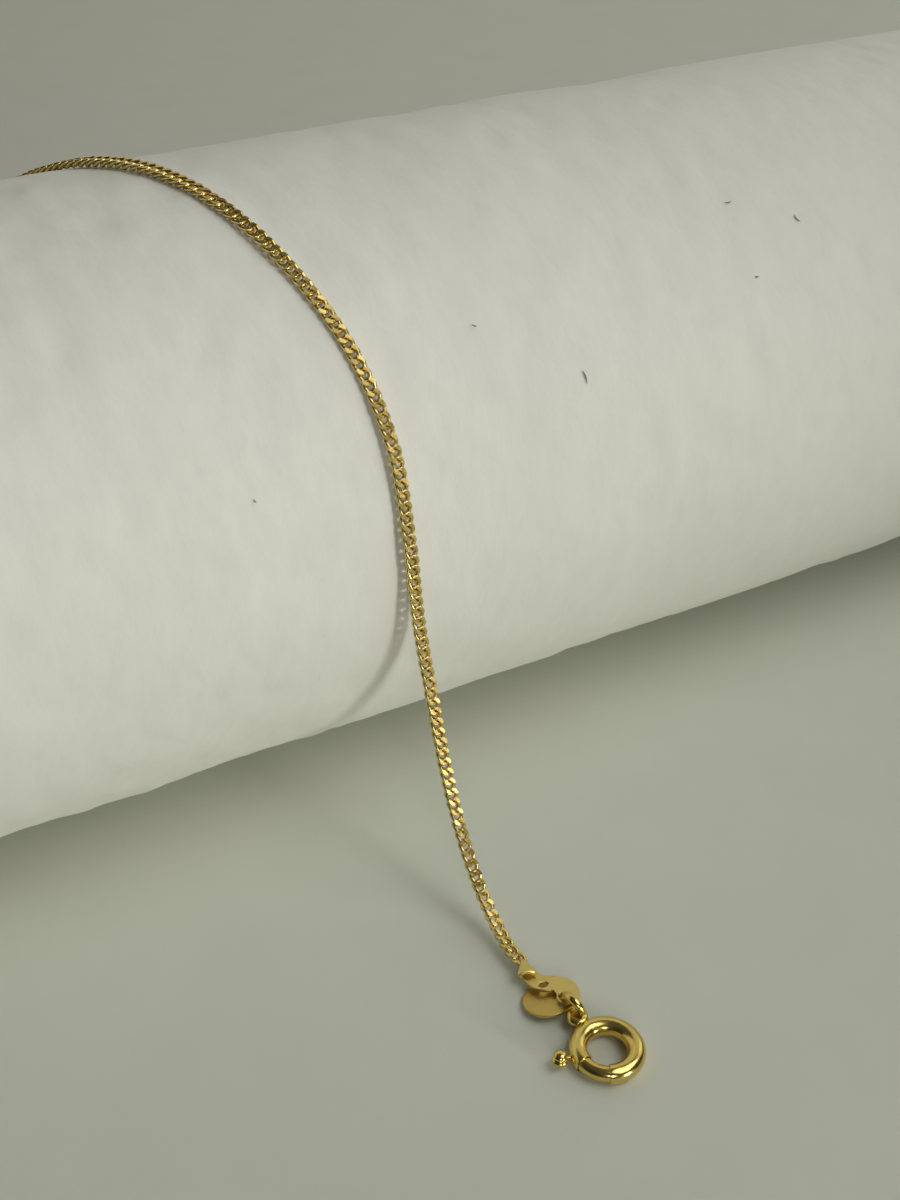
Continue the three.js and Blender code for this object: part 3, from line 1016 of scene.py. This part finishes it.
TAG_OUTLINE = (
    # x, y
    (-28.75, -45.1),
    (-28.78, -46.0),
    (-28.58, -46.85),
    (-28.0, -47.4),
    (-27.45, -47.75),
    (-27.55, -48.45),
    (-27.6, -49.05),
    (-27.2, -49.5),
    (-26.5, -49.5),
    (-25.85, -48.95),
    (-25.6, -48.1),
    (-25.78, -47.2),
    (-26.4, -46.5),
    (-27.2, -45.95),
    (-27.55, -45.3),
    (-28.15, -44.85),
)
OUTLINE_STEPS = 8  # points for each span of the outline
LINK_HOLE = (-27.8, -46.8, 0.4)  # x, y and radius
LINK_HOLE_DEPTH = 0.7  # its reach along y against its radius
RING_HOLE = (-27.14, -48.66, 0.48)
HOLE_STEPS = 48
EDGE_STEPS = 5  # points across the rounding of a plate's edge
TAG_TIP = np.array([-28.02, -43.86, 0.0])
TAG_ALONG = level_way(-106.0)  # from the tip towards the plate
TAG_TILT = 7.3  # degrees that the plate rises from the fold to the jump ring
TAG_HEIGHT = 0.36  # of the plate's underside at the fold

FOLD_RADIUS = 0.17  # inside the tongue's bend
TONGUE_ROOT = 1.5  # from the fold to where the tongue leaves the plate
TONGUE_REACH = 1.75
TONGUE_NARROW = 0.19  # half its width round the bend
TONGUE_WIDE = 0.72  # half its width at its free end
TONGUE_OPENS = (0.3, 1.6)  # from the fold, between which it widens
TONGUE_SQUARE = 0.35  # the lower, the squarer the corners of its section
TONGUE_HOLLOW = 0.12  # how far the middle of its end falls short of its corners
TONGUE_ARCH = 0.04  # how far the middle of its end rises
TONGUE_DROP = 0.2  # how far the corners of its end are pressed down towards the plate
TONGUE_ROWS = (8, 17, 15)  # rings of points along the root, round the bend and on the way back
TONGUE_SIDES = 24

DISC_EAR = (-27.2, -48.87, 0.667)
DISC_OFFSET = (-0.95, 1.02)  # of the disc's centre from the hole in its ear
DISC_RADIUS = 1.85
DISC_STEPS = 90
EAR_RADIUS = 0.8
EAR_HOLE = 0.47
EAR_STEPS = 24
DISC_TILT = 10.6  # degrees, which lays its far edge on the table


def hole_loop(x, y, radius, depth=1.0):
    """A clockwise loop of points round an oval, which reaches depth times its radius along y."""
    turn = -full_turn(HOLE_STEPS)
    return np.column_stack([x + radius * np.cos(turn), y + depth * radius * np.sin(turn)])


def add_cut_plate(shell, loops, thickness, edge, place):
    """Adds a flat plate cut along loops, with rounded edges, and moves it by place(points).

    The first loop is the outline, counter-clockwise, and the rest are holes, clockwise, so that
    the metal is always on the left. The wall is each loop carried through a quarter circle, a
    straight drop and a quarter circle, and the two faces are filled flat.
    """
    corner = np.linspace(0, np.pi / 2, EDGE_STEPS)
    inwards = edge * (1 - np.sin(corner))
    level = thickness / 2 - edge * (1 - np.cos(corner))
    inwards = np.concatenate([inwards, inwards[::-1]])
    level = np.concatenate([level, -level[::-1]])
    rims = []
    for loop in loops:
        heading = unit(np.roll(loop, -1, axis=0) - np.roll(loop, 1, axis=0))
        left = np.column_stack([-heading[:, 1], heading[:, 0]])
        ring = loop[None] + inwards[:, None, None] * left[None]
        drop = np.broadcast_to(level[:, None, None], (len(level), len(loop), 1))
        rims.append(np.concatenate([ring, drop], axis=2))
    quads, offset = [], 0
    first_rows, last_rows = [], []
    for rim in rims:
        rows, columns = rim.shape[:2]
        quads.append(grid_quads(rows, columns)[:, ::-1] + offset)
        first_rows.append(offset + np.arange(columns))
        last_rows.append(offset + (rows - 1) * columns + np.arange(columns))
        offset += rows * columns
    outlines = [[Vector(point) for point in rim[0]] for rim in rims]
    fill = np.array(tessellate_polygon(outlines))
    top = np.concatenate(first_rows)[fill]
    bottom = np.concatenate(last_rows)[fill][:, ::-1]
    points = np.concatenate([rim.reshape(-1, 3) for rim in rims])
    corners = points[top]
    if np.cross(corners[:, 1] - corners[:, 0], corners[:, 2] - corners[:, 0])[:, 2].sum() < 0:
        top, bottom = top[:, ::-1], bottom[:, ::-1]
    shell.add(
        place(points), np.concatenate(quads), np.concatenate([top, bottom]), flat_triangles=True
    )


def tag_place(points):
    """Tilts the end tag about its tip and lifts it to its height."""
    hinge = Vector(np.cross(TAG_ALONG, UP))
    turn = np.array(Matrix.Rotation(np.radians(TAG_TILT), 3, hinge))
    return (points - TAG_TIP) @ turn.T + TAG_TIP + TAG_HEIGHT * UP


def tongue_place(points):
    """Moves points given along the tag from its tip, across it and up to where the tongue is."""
    axes = np.array([TAG_ALONG, np.cross(UP, TAG_ALONG), UP])
    return tag_place(points @ axes + TAG_TIP)


def tongue_grid(strip, plate):
    """The end tag's tongue: out of the plate, round the bend and back over the plate.

    Its middle line is a straight run, a half circle and a straight run, seen from the side. Its
    section is a rounded strip that is narrow round the bend, and that opens and arches
    towards its free end, whose corners are pressed down. Returns the rings of points and the
    middles of the two ends.
    """
    radius = FOLD_RADIUS + strip / 2
    bend_end = radius + strip / 2
    out = np.linspace(TONGUE_ROOT, bend_end, TONGUE_ROWS[0], endpoint=False)
    bend = np.linspace(0, np.pi, TONGUE_ROWS[1])
    back = np.linspace(bend_end, TONGUE_REACH, TONGUE_ROWS[2])[1:]
    s = np.concatenate([out, bend_end - radius * np.sin(bend), back])
    level = np.zeros(len(s))
    z = np.concatenate([np.zeros(len(out)), radius - radius * np.cos(bend), np.full(len(back), 2 * radius)])
    middle = np.column_stack([s, level, z])
    forward = unit(np.column_stack([np.gradient(s), level, np.gradient(z)]))
    aside = np.tile((0.0, 1.0, 0.0), (len(s), 1))
    turn = full_turn(TONGUE_SIDES)
    across = np.sign(np.sin(turn)) * np.abs(np.sin(turn)) ** TONGUE_SQUARE
    thick = np.sign(np.cos(turn)) * np.abs(np.cos(turn)) ** TONGUE_SQUARE
    half = TONGUE_NARROW + (TONGUE_WIDE - TONGUE_NARROW) * smooth_step(*TONGUE_OPENS, s)
    rings = around(middle, aside, np.cross(forward, aside), half[:, None] * across, strip / 2 * thick)
    free = np.concatenate([np.zeros(len(out) + len(bend)), np.linspace(0, 1, len(back))])
    free = free[:, None] ** 2
    rings[..., 0] -= TONGUE_HOLLOW * free * (1 - across**2)
    rings[..., 2] += free * (TONGUE_ARCH - TONGUE_DROP * across**2)
    ends = np.array([middle[0], rings[-1].mean(0)])
    return rings + plate / 2 * UP, ends + plate / 2 * UP


class CURB_CHAIN_OT_end_tag(bpy.types.Operator):
    """Builds the thin end tag, whose tongue folds over the last link"""

    bl_idname = "curb_chain.end_tag"
    bl_label = "End tag"

    def execute(self, context):
        """A plate cut along a smooth outline with two holes, and a tongue carried round its bend,
        in one frame that is then tilted into place."""
        settings = context.scene.curb_chain
        plate, edge, strip = in_mm(settings.tags, "plate", "edge", "strip")
        outline = catmull_rom(TAG_OUTLINE, OUTLINE_STEPS, closed=True)
        loops = [outline, hole_loop(*LINK_HOLE, LINK_HOLE_DEPTH), hole_loop(*RING_HOLE)]
        shell = Shell()
        add_cut_plate(shell, loops, plate, edge, lambda points: tag_place(points + plate / 2 * UP))
        rings, ends = tongue_grid(strip, plate)
        shell.add_tube(tongue_place(rings), tongue_place(ends), reverse=True)
        gold = settings.gold
        finish = gold_material("end_tag_skin", gold.tag_colour, gold.tag_shade, 0.3)
        piece = shell.build("folded_tag", [finish])
        settle(piece, DISPLAY, "tag_gold", "end_tag")
        return {"FINISHED"}


class CURB_CHAIN_OT_round_tag(bpy.types.Operator):
    """Builds the small round tag under the end tag"""

    bl_idname = "curb_chain.round_tag"
    bl_label = "Round tag"

    def execute(self, context):
        """A disc and a small ear cut from one plate: the outline takes the disc's edge, then the
        ear's, each as far as the two straight lines that touch both circles."""
        settings = context.scene.curb_chain
        thickness, edge = in_mm(settings.tags, "disc", "edge")
        centre = np.array(DISC_OFFSET)
        apart = np.linalg.norm(centre)
        facing = np.arctan2(-centre[1], -centre[0])  # from the disc's centre to the ear
        touch = np.arccos((DISC_RADIUS - EAR_RADIUS) / apart)  # from there to where a line touches
        disc_turn = facing + np.linspace(touch, 2 * np.pi - touch, DISC_STEPS)
        ear_turn = facing + np.linspace(-touch, touch, EAR_STEPS)[1:-1]
        disc = centre + DISC_RADIUS * np.column_stack([np.cos(disc_turn), np.sin(disc_turn)])
        ear = EAR_RADIUS * np.column_stack([np.cos(ear_turn), np.sin(ear_turn)])
        loops = [np.concatenate([disc, ear]), hole_loop(0, 0, EAR_HOLE)]
        tilt = np.array(Matrix.Rotation(-np.radians(DISC_TILT), 3, "X"))
        shell = Shell()
        add_cut_plate(shell, loops, thickness, edge, lambda points: points @ tilt.T + DISC_EAR)
        gold = settings.gold
        finish = gold_material("round_tag_skin", gold.tag_shade, gold.tag_shade, 0.38)
        piece = shell.build("disc_tag", [finish])
        settle(piece, DISPLAY, "tag_gold", "round_tag")
        return {"FINISHED"}


# ------------------------------------------------------------------ the wire rings

JUMP_PLACE = (-26.92, -49.7, 1.2)
JUMP_LEAN = -14.0  # degrees from upright, towards +X
JUMP_TURN = 12.0  # degrees from +Y towards -X
JUMP_RADIUS = 0.86
CATCH_TIP = 8.0  # degrees by which the chain's last link lifts the catch ring's near side


class CURB_CHAIN_OT_rings(bpy.types.Operator):
    """Builds the jump ring, and the catch ring on the chain's far end"""

    bl_idname = "curb_chain.rings"
    bl_label = "Jump ring and catch ring"

    def execute(self, context):
        """Two round wire rings. The jump ring stands on its edge, turned and leant over. The catch
        ring lies on the table, tipped up on the side of the chain's last link."""
        settings = context.scene.curb_chain
        jump_wire, catch_wire = in_mm(settings.clasp, "jump_wire", "catch_wire")
        gold = settings.gold
        finish = gold_material("ring_gold_skin", gold.clasp_colour, gold.shade, 0.2)
        lean = np.radians(JUMP_LEAN)
        level = level_way(JUMP_TURN + 90)
        upright = np.sin(lean) * level_way(JUMP_TURN) + np.cos(lean) * UP
        shell = Shell()
        torus(shell, np.array(JUMP_PLACE), JUMP_RADIUS, jump_wire, level, upright)
        piece = shell.build("jump_ring_wire", [finish])
        settle(piece, DISPLAY, "clasp_gold", "jump_ring")
        low, high = cad_box("catch_ring")
        centre = (low + high) / 2
        radius = (high[0] - low[0]) / 2 - catch_wire
        tip = np.radians(CATCH_TIP)
        centre[2] = catch_wire + TABLE_GAP + radius * np.sin(tip)
        towards = unit(np.array([*(np.array(ON_TABLE[-1]) - centre[:2]), 0]))
        raised = np.cos(tip) * towards + np.sin(tip) * UP
        shell = Shell()
        torus(shell, centre, radius, catch_wire, raised, np.cross(UP, towards))
        piece = shell.build("catch_ring_wire", [finish])
        settle(piece, DISPLAY, "clasp_gold", "catch_ring")
        return {"FINISHED"}


# ------------------------------------------------------------------ the clasp

# Angles round the clasp are in degrees from +X towards +Y.
GATE = (188.0, 242.0)
BORE = (99.0, 249.0)
SLOT = (119.0, 172.0)
SLOT_HALF = 0.27
SLOT_FLOOR = 0.65  # from the tube's middle
SLOT_EDGE = 0.03  # to both sides of the slot's long edges, over which they are rounded
SLOT_END = 0.8  # degrees, the same at its ends
TUBE_SIDES = 72
TUBE_ROWS = 170  # circles along the tube's outside
BORE_ROWS = (5, 40)  # circles along the short bore and along the long one, where the bolt slides
LIP_STEPS = 7  # points across the gate's rounded lips
OUTSIDE_START = 0.8  # of the wall's thickness, from where a lip's circle counts as outside

EYE_ANGLE = 97.0
EYE_REACH = 3.44
EYE_RISE = 0.16
EYE_RADIUS = 0.5
EYE_WIRE = 0.33
EYE_STEPS = 56
EYE_SIDES = 16

BOLT_SPAN = (150.0, 245.5)
BOLT_ROWS = 60
BOLT_SIDES = 40
END_ROUND = 0.12  # how far the rounding of the bolt's ends reaches along it
END_STEPS = 9
STEM_RADIUS = 0.2
STEM_ROWS = 8
STEM_SIDES = 20
KNOB_ANGLE = 166.5
KNOB_REACH = 3.63
KNOB_STRETCH = 1.25  # the knob's height against that of a ball
KNOB_SPREAD = 1.15  # the knob's width against that of a ball
KNOB_FULLNESS = 0.8  # 1 for a ball, and less for one with steeper sides
KNOB_WAIST = 0.38  # how deep the groove between the knob's two lobes is, against its radius
KNOB_WAIST_HEIGHT = 0.25  # of the groove above the knob's middle, against its half height
KNOB_WAIST_WIDTH = 0.17  # of the groove, against its half height
KNOB_ROWS = 31
KNOB_SIDES = 40

# Flats that wear and polishing have left on the tube.
WORN_FLATS = (
    # degrees round the clasp, degrees round the tube from outwards to up, spread of each, depth
    (262, 66, 9, 20, 0.03),
    (95, 132, 9, 22, 0.03),
)


def clasp_centre(tube_radius):
    """The middle of the clasp's ring: its box's middle in x, and one radius in from its front."""
    return np.array([
        (CLASP_LOW[0] + CLASP_HIGH[0]) / 2,
        CLASP_LOW[1] + CLASP_OUTER,
        CLASP_LOW[2] + tube_radius,
    ])


def pulled_in(turns, section, tube):
    """How far the tube's outside is pulled towards its middle by the knob's slot and the flats.

    turns are angles round the clasp, and section ones round the tube from outwards to up. The
    slot is one where both are inside it, and a flat is depth exp(-u^2 - v^2), where u and v are
    the two angles from its middle, against its spreads.
    """
    about_clasp = np.degrees(turns)[:, None] % 360
    about_tube = np.degrees(section)[None]
    height = np.abs(tube * np.sin(section))
    in_slot = (np.cos(section) > 0) * (1 - smooth_step(SLOT_HALF - SLOT_EDGE, SLOT_HALF + SLOT_EDGE, height))
    past_start, past_stop = (smooth_step(end - SLOT_END, end + SLOT_END, about_clasp) for end in SLOT)
    pull = (tube - SLOT_FLOOR) * in_slot * past_start * (1 - past_stop)
    for clasp_angle, tube_angle, clasp_spread, tube_spread, depth in WORN_FLATS:
        u = (about_clasp - clasp_angle) / clasp_spread
        v = (about_tube - tube_angle) / tube_spread
        pull = pull + depth * np.exp(-(u**2) - v**2)
    return pull


def clasp_shell(tube, bore):
    """The hollow ring as one closed skin, from the bottom of one bore over the outside to the
    bottom of the other.

    Each row is a circle of a given radius at a given angle round the clasp: the bore's radius as
    far as its mouth, a half circle round the lip, and the tube's radius over the outside. The
    slot and the worn flats then pull the outside towards the tube's middle.
    """
    start, stop = np.radians([GATE[1], GATE[0] + 360])
    deep_start, deep_stop = np.radians([BORE[1], BORE[0] + 360])
    ring = CLASP_OUTER - tube
    wall = tube - bore
    lip = np.linspace(0, np.pi, LIP_STEPS)[1:-1]
    lip_turn = wall / 2 * (1 - np.sin(lip)) / ring
    lip_radius = bore + wall / 2 * (1 - np.cos(lip))
    mouth = wall / 2 / ring
    short, deep = BORE_ROWS
    turns = np.concatenate([
        np.linspace(deep_start, start + mouth, short),
        start + lip_turn,
        np.linspace(start + mouth, stop - mouth, TUBE_ROWS),
        stop - lip_turn[::-1],
        np.linspace(stop - mouth, deep_stop, deep),
    ])
    radii = np.concatenate([
        np.full(short, bore), lip_radius, np.full(TUBE_ROWS, tube), lip_radius[::-1], np.full(deep, bore)
    ])[:, None]
    section = full_turn(TUBE_SIDES)
    outside = smooth_step(bore + OUTSIDE_START * wall, tube, radii)
    return turns, radii - outside * pulled_in(turns, section, tube), section


class CURB_CHAIN_OT_clasp_ring(bpy.types.Operator):
    """Builds the clasp's hollow ring with its gate, bore, slot and base eye"""

    bl_idname = "curb_chain.clasp_ring"
    bl_label = "Clasp ring"

    def execute(self, context):
        """The ring's skin of circles, each in the plane of its spoke, and the base eye, a round
        wire ring that is sunk into the tube's side where it is soldered on."""
        settings = context.scene.curb_chain
        tube, bore = in_mm(settings.clasp, "tube_radius", "bore_radius")
        centre = clasp_centre(tube)
        turns, reach, section = clasp_shell(tube, bore)
        across = reach * np.cos(section)
        lift = reach * np.sin(section)
        rings = ring_points(centre, turns, CLASP_OUTER - tube, across, lift, X_WAY, Y_WAY)
        shell = Shell()
        shell.add_tube(rings, rings[[0, -1]].mean(1), reverse=True)
        eye = centre + EYE_REACH * level_way(EYE_ANGLE) + EYE_RISE * UP
        torus(shell, eye, EYE_RADIUS, EYE_WIRE, X_WAY, Y_WAY, EYE_STEPS, EYE_SIDES)
        gold = settings.gold
        finish = gold_material("clasp_gold_skin", gold.clasp_colour, gold.shade, 0.2)
        piece = shell.build("clasp_tube", [finish])
        settle(piece, DISPLAY, "clasp_gold", "clasp_ring")
        return {"FINISHED"}


def add_rod(shell, centre, ring, radius):
    """Adds the bolt's rod, bent to the ring's curve. Both its ends are rounded by a quarter oval,
    END_ROUND long."""
    start, stop = np.radians(BOLT_SPAN)
    rounding = np.linspace(0, np.pi / 2, END_STEPS)[1:-1]
    reach = END_ROUND / ring
    near = reach * (1 - np.cos(rounding))
    body = np.linspace(start + reach, stop - reach, BOLT_ROWS)
    turns = np.concatenate([start + near, body, stop - near[::-1]])
    end_radii = radius * np.sin(rounding)
    radii = np.concatenate([end_radii, np.full(BOLT_ROWS, radius), end_radii[::-1]])[:, None]
    section = full_turn(BOLT_SIDES)
    across, lift = radii * np.cos(section), radii * np.sin(section)
    rings = ring_points(centre, turns, ring, across, lift, X_WAY, Y_WAY)
    tips = [centre + ring * level_way(degrees) for degrees in BOLT_SPAN]
    shell.add_tube(rings, tips, reverse=True)


def add_stem(shell, centre, ring):
    """Adds the straight round stem, out along a spoke from the rod's middle to the knob's."""
    spoke = level_way(KNOB_ANGLE)
    middle = centre + np.linspace(ring, KNOB_REACH, STEM_ROWS)[:, None] * spoke
    aside = np.tile(np.cross(UP, spoke), (STEM_ROWS, 1))
    section = full_turn(STEM_SIDES)
    across, lift = STEM_RADIUS * np.cos(section), STEM_RADIUS * np.sin(section)
    shell.add_tube(around(middle, aside, np.tile(UP, (STEM_ROWS, 1)), across, lift), middle[[0, -1]])


def add_knob(shell, centre, radius):
    """Adds the thumb knob, two stacked lobes turned about an upright axis.

    At latitude b its height is KNOB_STRETCH radius sin b, and its reach is KNOB_SPREAD radius
    cos(b)^KNOB_FULLNESS, pinched by a bell curve in sin b for the waist.
    """
    latitude = np.linspace(-np.pi / 2, np.pi / 2, KNOB_ROWS + 2)[1:-1]
    off_waist = (np.sin(latitude) - KNOB_WAIST_HEIGHT) / KNOB_WAIST_WIDTH
    waist = 1 - KNOB_WAIST * np.exp(-(off_waist**2))
    reach = KNOB_SPREAD * radius * np.cos(latitude) ** KNOB_FULLNESS * waist
    middle = centre + KNOB_REACH * level_way(KNOB_ANGLE) + (KNOB_STRETCH - 1) * radius * UP
    rows = middle + (KNOB_STRETCH * radius * np.sin(latitude))[:, None] * UP
    turn = full_turn(KNOB_SIDES)
    spokes = np.column_stack([np.cos(turn), np.sin(turn), np.zeros(KNOB_SIDES)])
    poles = middle + KNOB_STRETCH * radius * np.array([-UP, UP])
    shell.add_tube(rows[:, None] + reach[:, None, None] * spokes, poles)


class CURB_CHAIN_OT_clasp_bolt(bpy.types.Operator):
    """Builds the bolt that closes the clasp's gate, with its stem and thumb knob"""

    bl_idname = "curb_chain.clasp_bolt"
    bl_label = "Clasp bolt"

    def execute(self, context):
        """A rod bent to the ring's curve, a straight stem and a knob of two lobes, in one mesh."""
        settings = context.scene.curb_chain
        tube, rod, knob = in_mm(settings.clasp, "tube_radius", "rod_radius", "knob_radius")
        centre = clasp_centre(tube)
        ring = CLASP_OUTER - tube
        shell = Shell()
        add_rod(shell, centre, ring, rod)
        add_stem(shell, centre, ring)
        add_knob(shell, centre, knob)
        gold = settings.gold
        finish = gold_material("bolt_gold_skin", gold.clasp_colour, gold.shade, 0.2)
        piece = shell.build("clasp_bolt_rod", [finish])
        settle(piece, BOLT_BODY, "clasp_gold", "clasp_bolt")
        return {"FINISHED"}


# ------------------------------------------------------------------ the panel and the add-on


class CURB_CHAIN_PT_panel(bpy.types.Panel):
    """Lists the pieces and their settings"""

    bl_idname = "CURB_CHAIN_PT_panel"
    bl_label = "Curb Chain"
    bl_space_type = "VIEW_3D"
    bl_region_type = "UI"
    bl_category = "Curb Chain"

    def draw(self, context):
        for operator in OPERATORS:
            self.layout.operator(operator.bl_idname)
        settings = context.scene.curb_chain
        for group in settings.bl_rna.properties.keys():
            if group in ("rna_type", "name"):
                continue
            box = self.layout.box()
            box.label(text=group.capitalize())
            chosen = getattr(settings, group)
            for name in chosen.bl_rna.properties.keys():
                if name not in ("rna_type", "name"):
                    box.prop(chosen, name)


SETTINGS = (
    LinkSettings,
    GoldSettings,
    TagSettings,
    ClaspSettings,
    RollSettings,
    StageSettings,
    ChainSettings,
)
OPERATORS = (
    CURB_CHAIN_OT_stage,
    CURB_CHAIN_OT_display_roll,
    CURB_CHAIN_OT_links,
    CURB_CHAIN_OT_end_tag,
    CURB_CHAIN_OT_round_tag,
    CURB_CHAIN_OT_rings,
    CURB_CHAIN_OT_clasp_ring,
    CURB_CHAIN_OT_clasp_bolt,
)
CLASSES = (*SETTINGS, *OPERATORS, CURB_CHAIN_PT_panel)


def register():
    """Makes the operators, the panel and the scene's settings known."""
    for kind in CLASSES:
        bpy.utils.register_class(kind)
    bpy.types.Scene.curb_chain = PointerProperty(type=ChainSettings)


def unregister():
    """Takes back what register() did."""
    del bpy.types.Scene.curb_chain
    for kind in reversed(CLASSES):
        bpy.utils.unregister_class(kind)


def main():
    """Builds everything."""
    register()
    bpy.ops.curb_chain.stage()
    bpy.ops.curb_chain.display_roll()
    bpy.ops.curb_chain.links()
    bpy.ops.curb_chain.end_tag()
    bpy.ops.curb_chain.round_tag()
    bpy.ops.curb_chain.rings()
    bpy.ops.curb_chain.clasp_ring()
    bpy.ops.curb_chain.clasp_bolt()


if __name__ == "__main__":
    main()
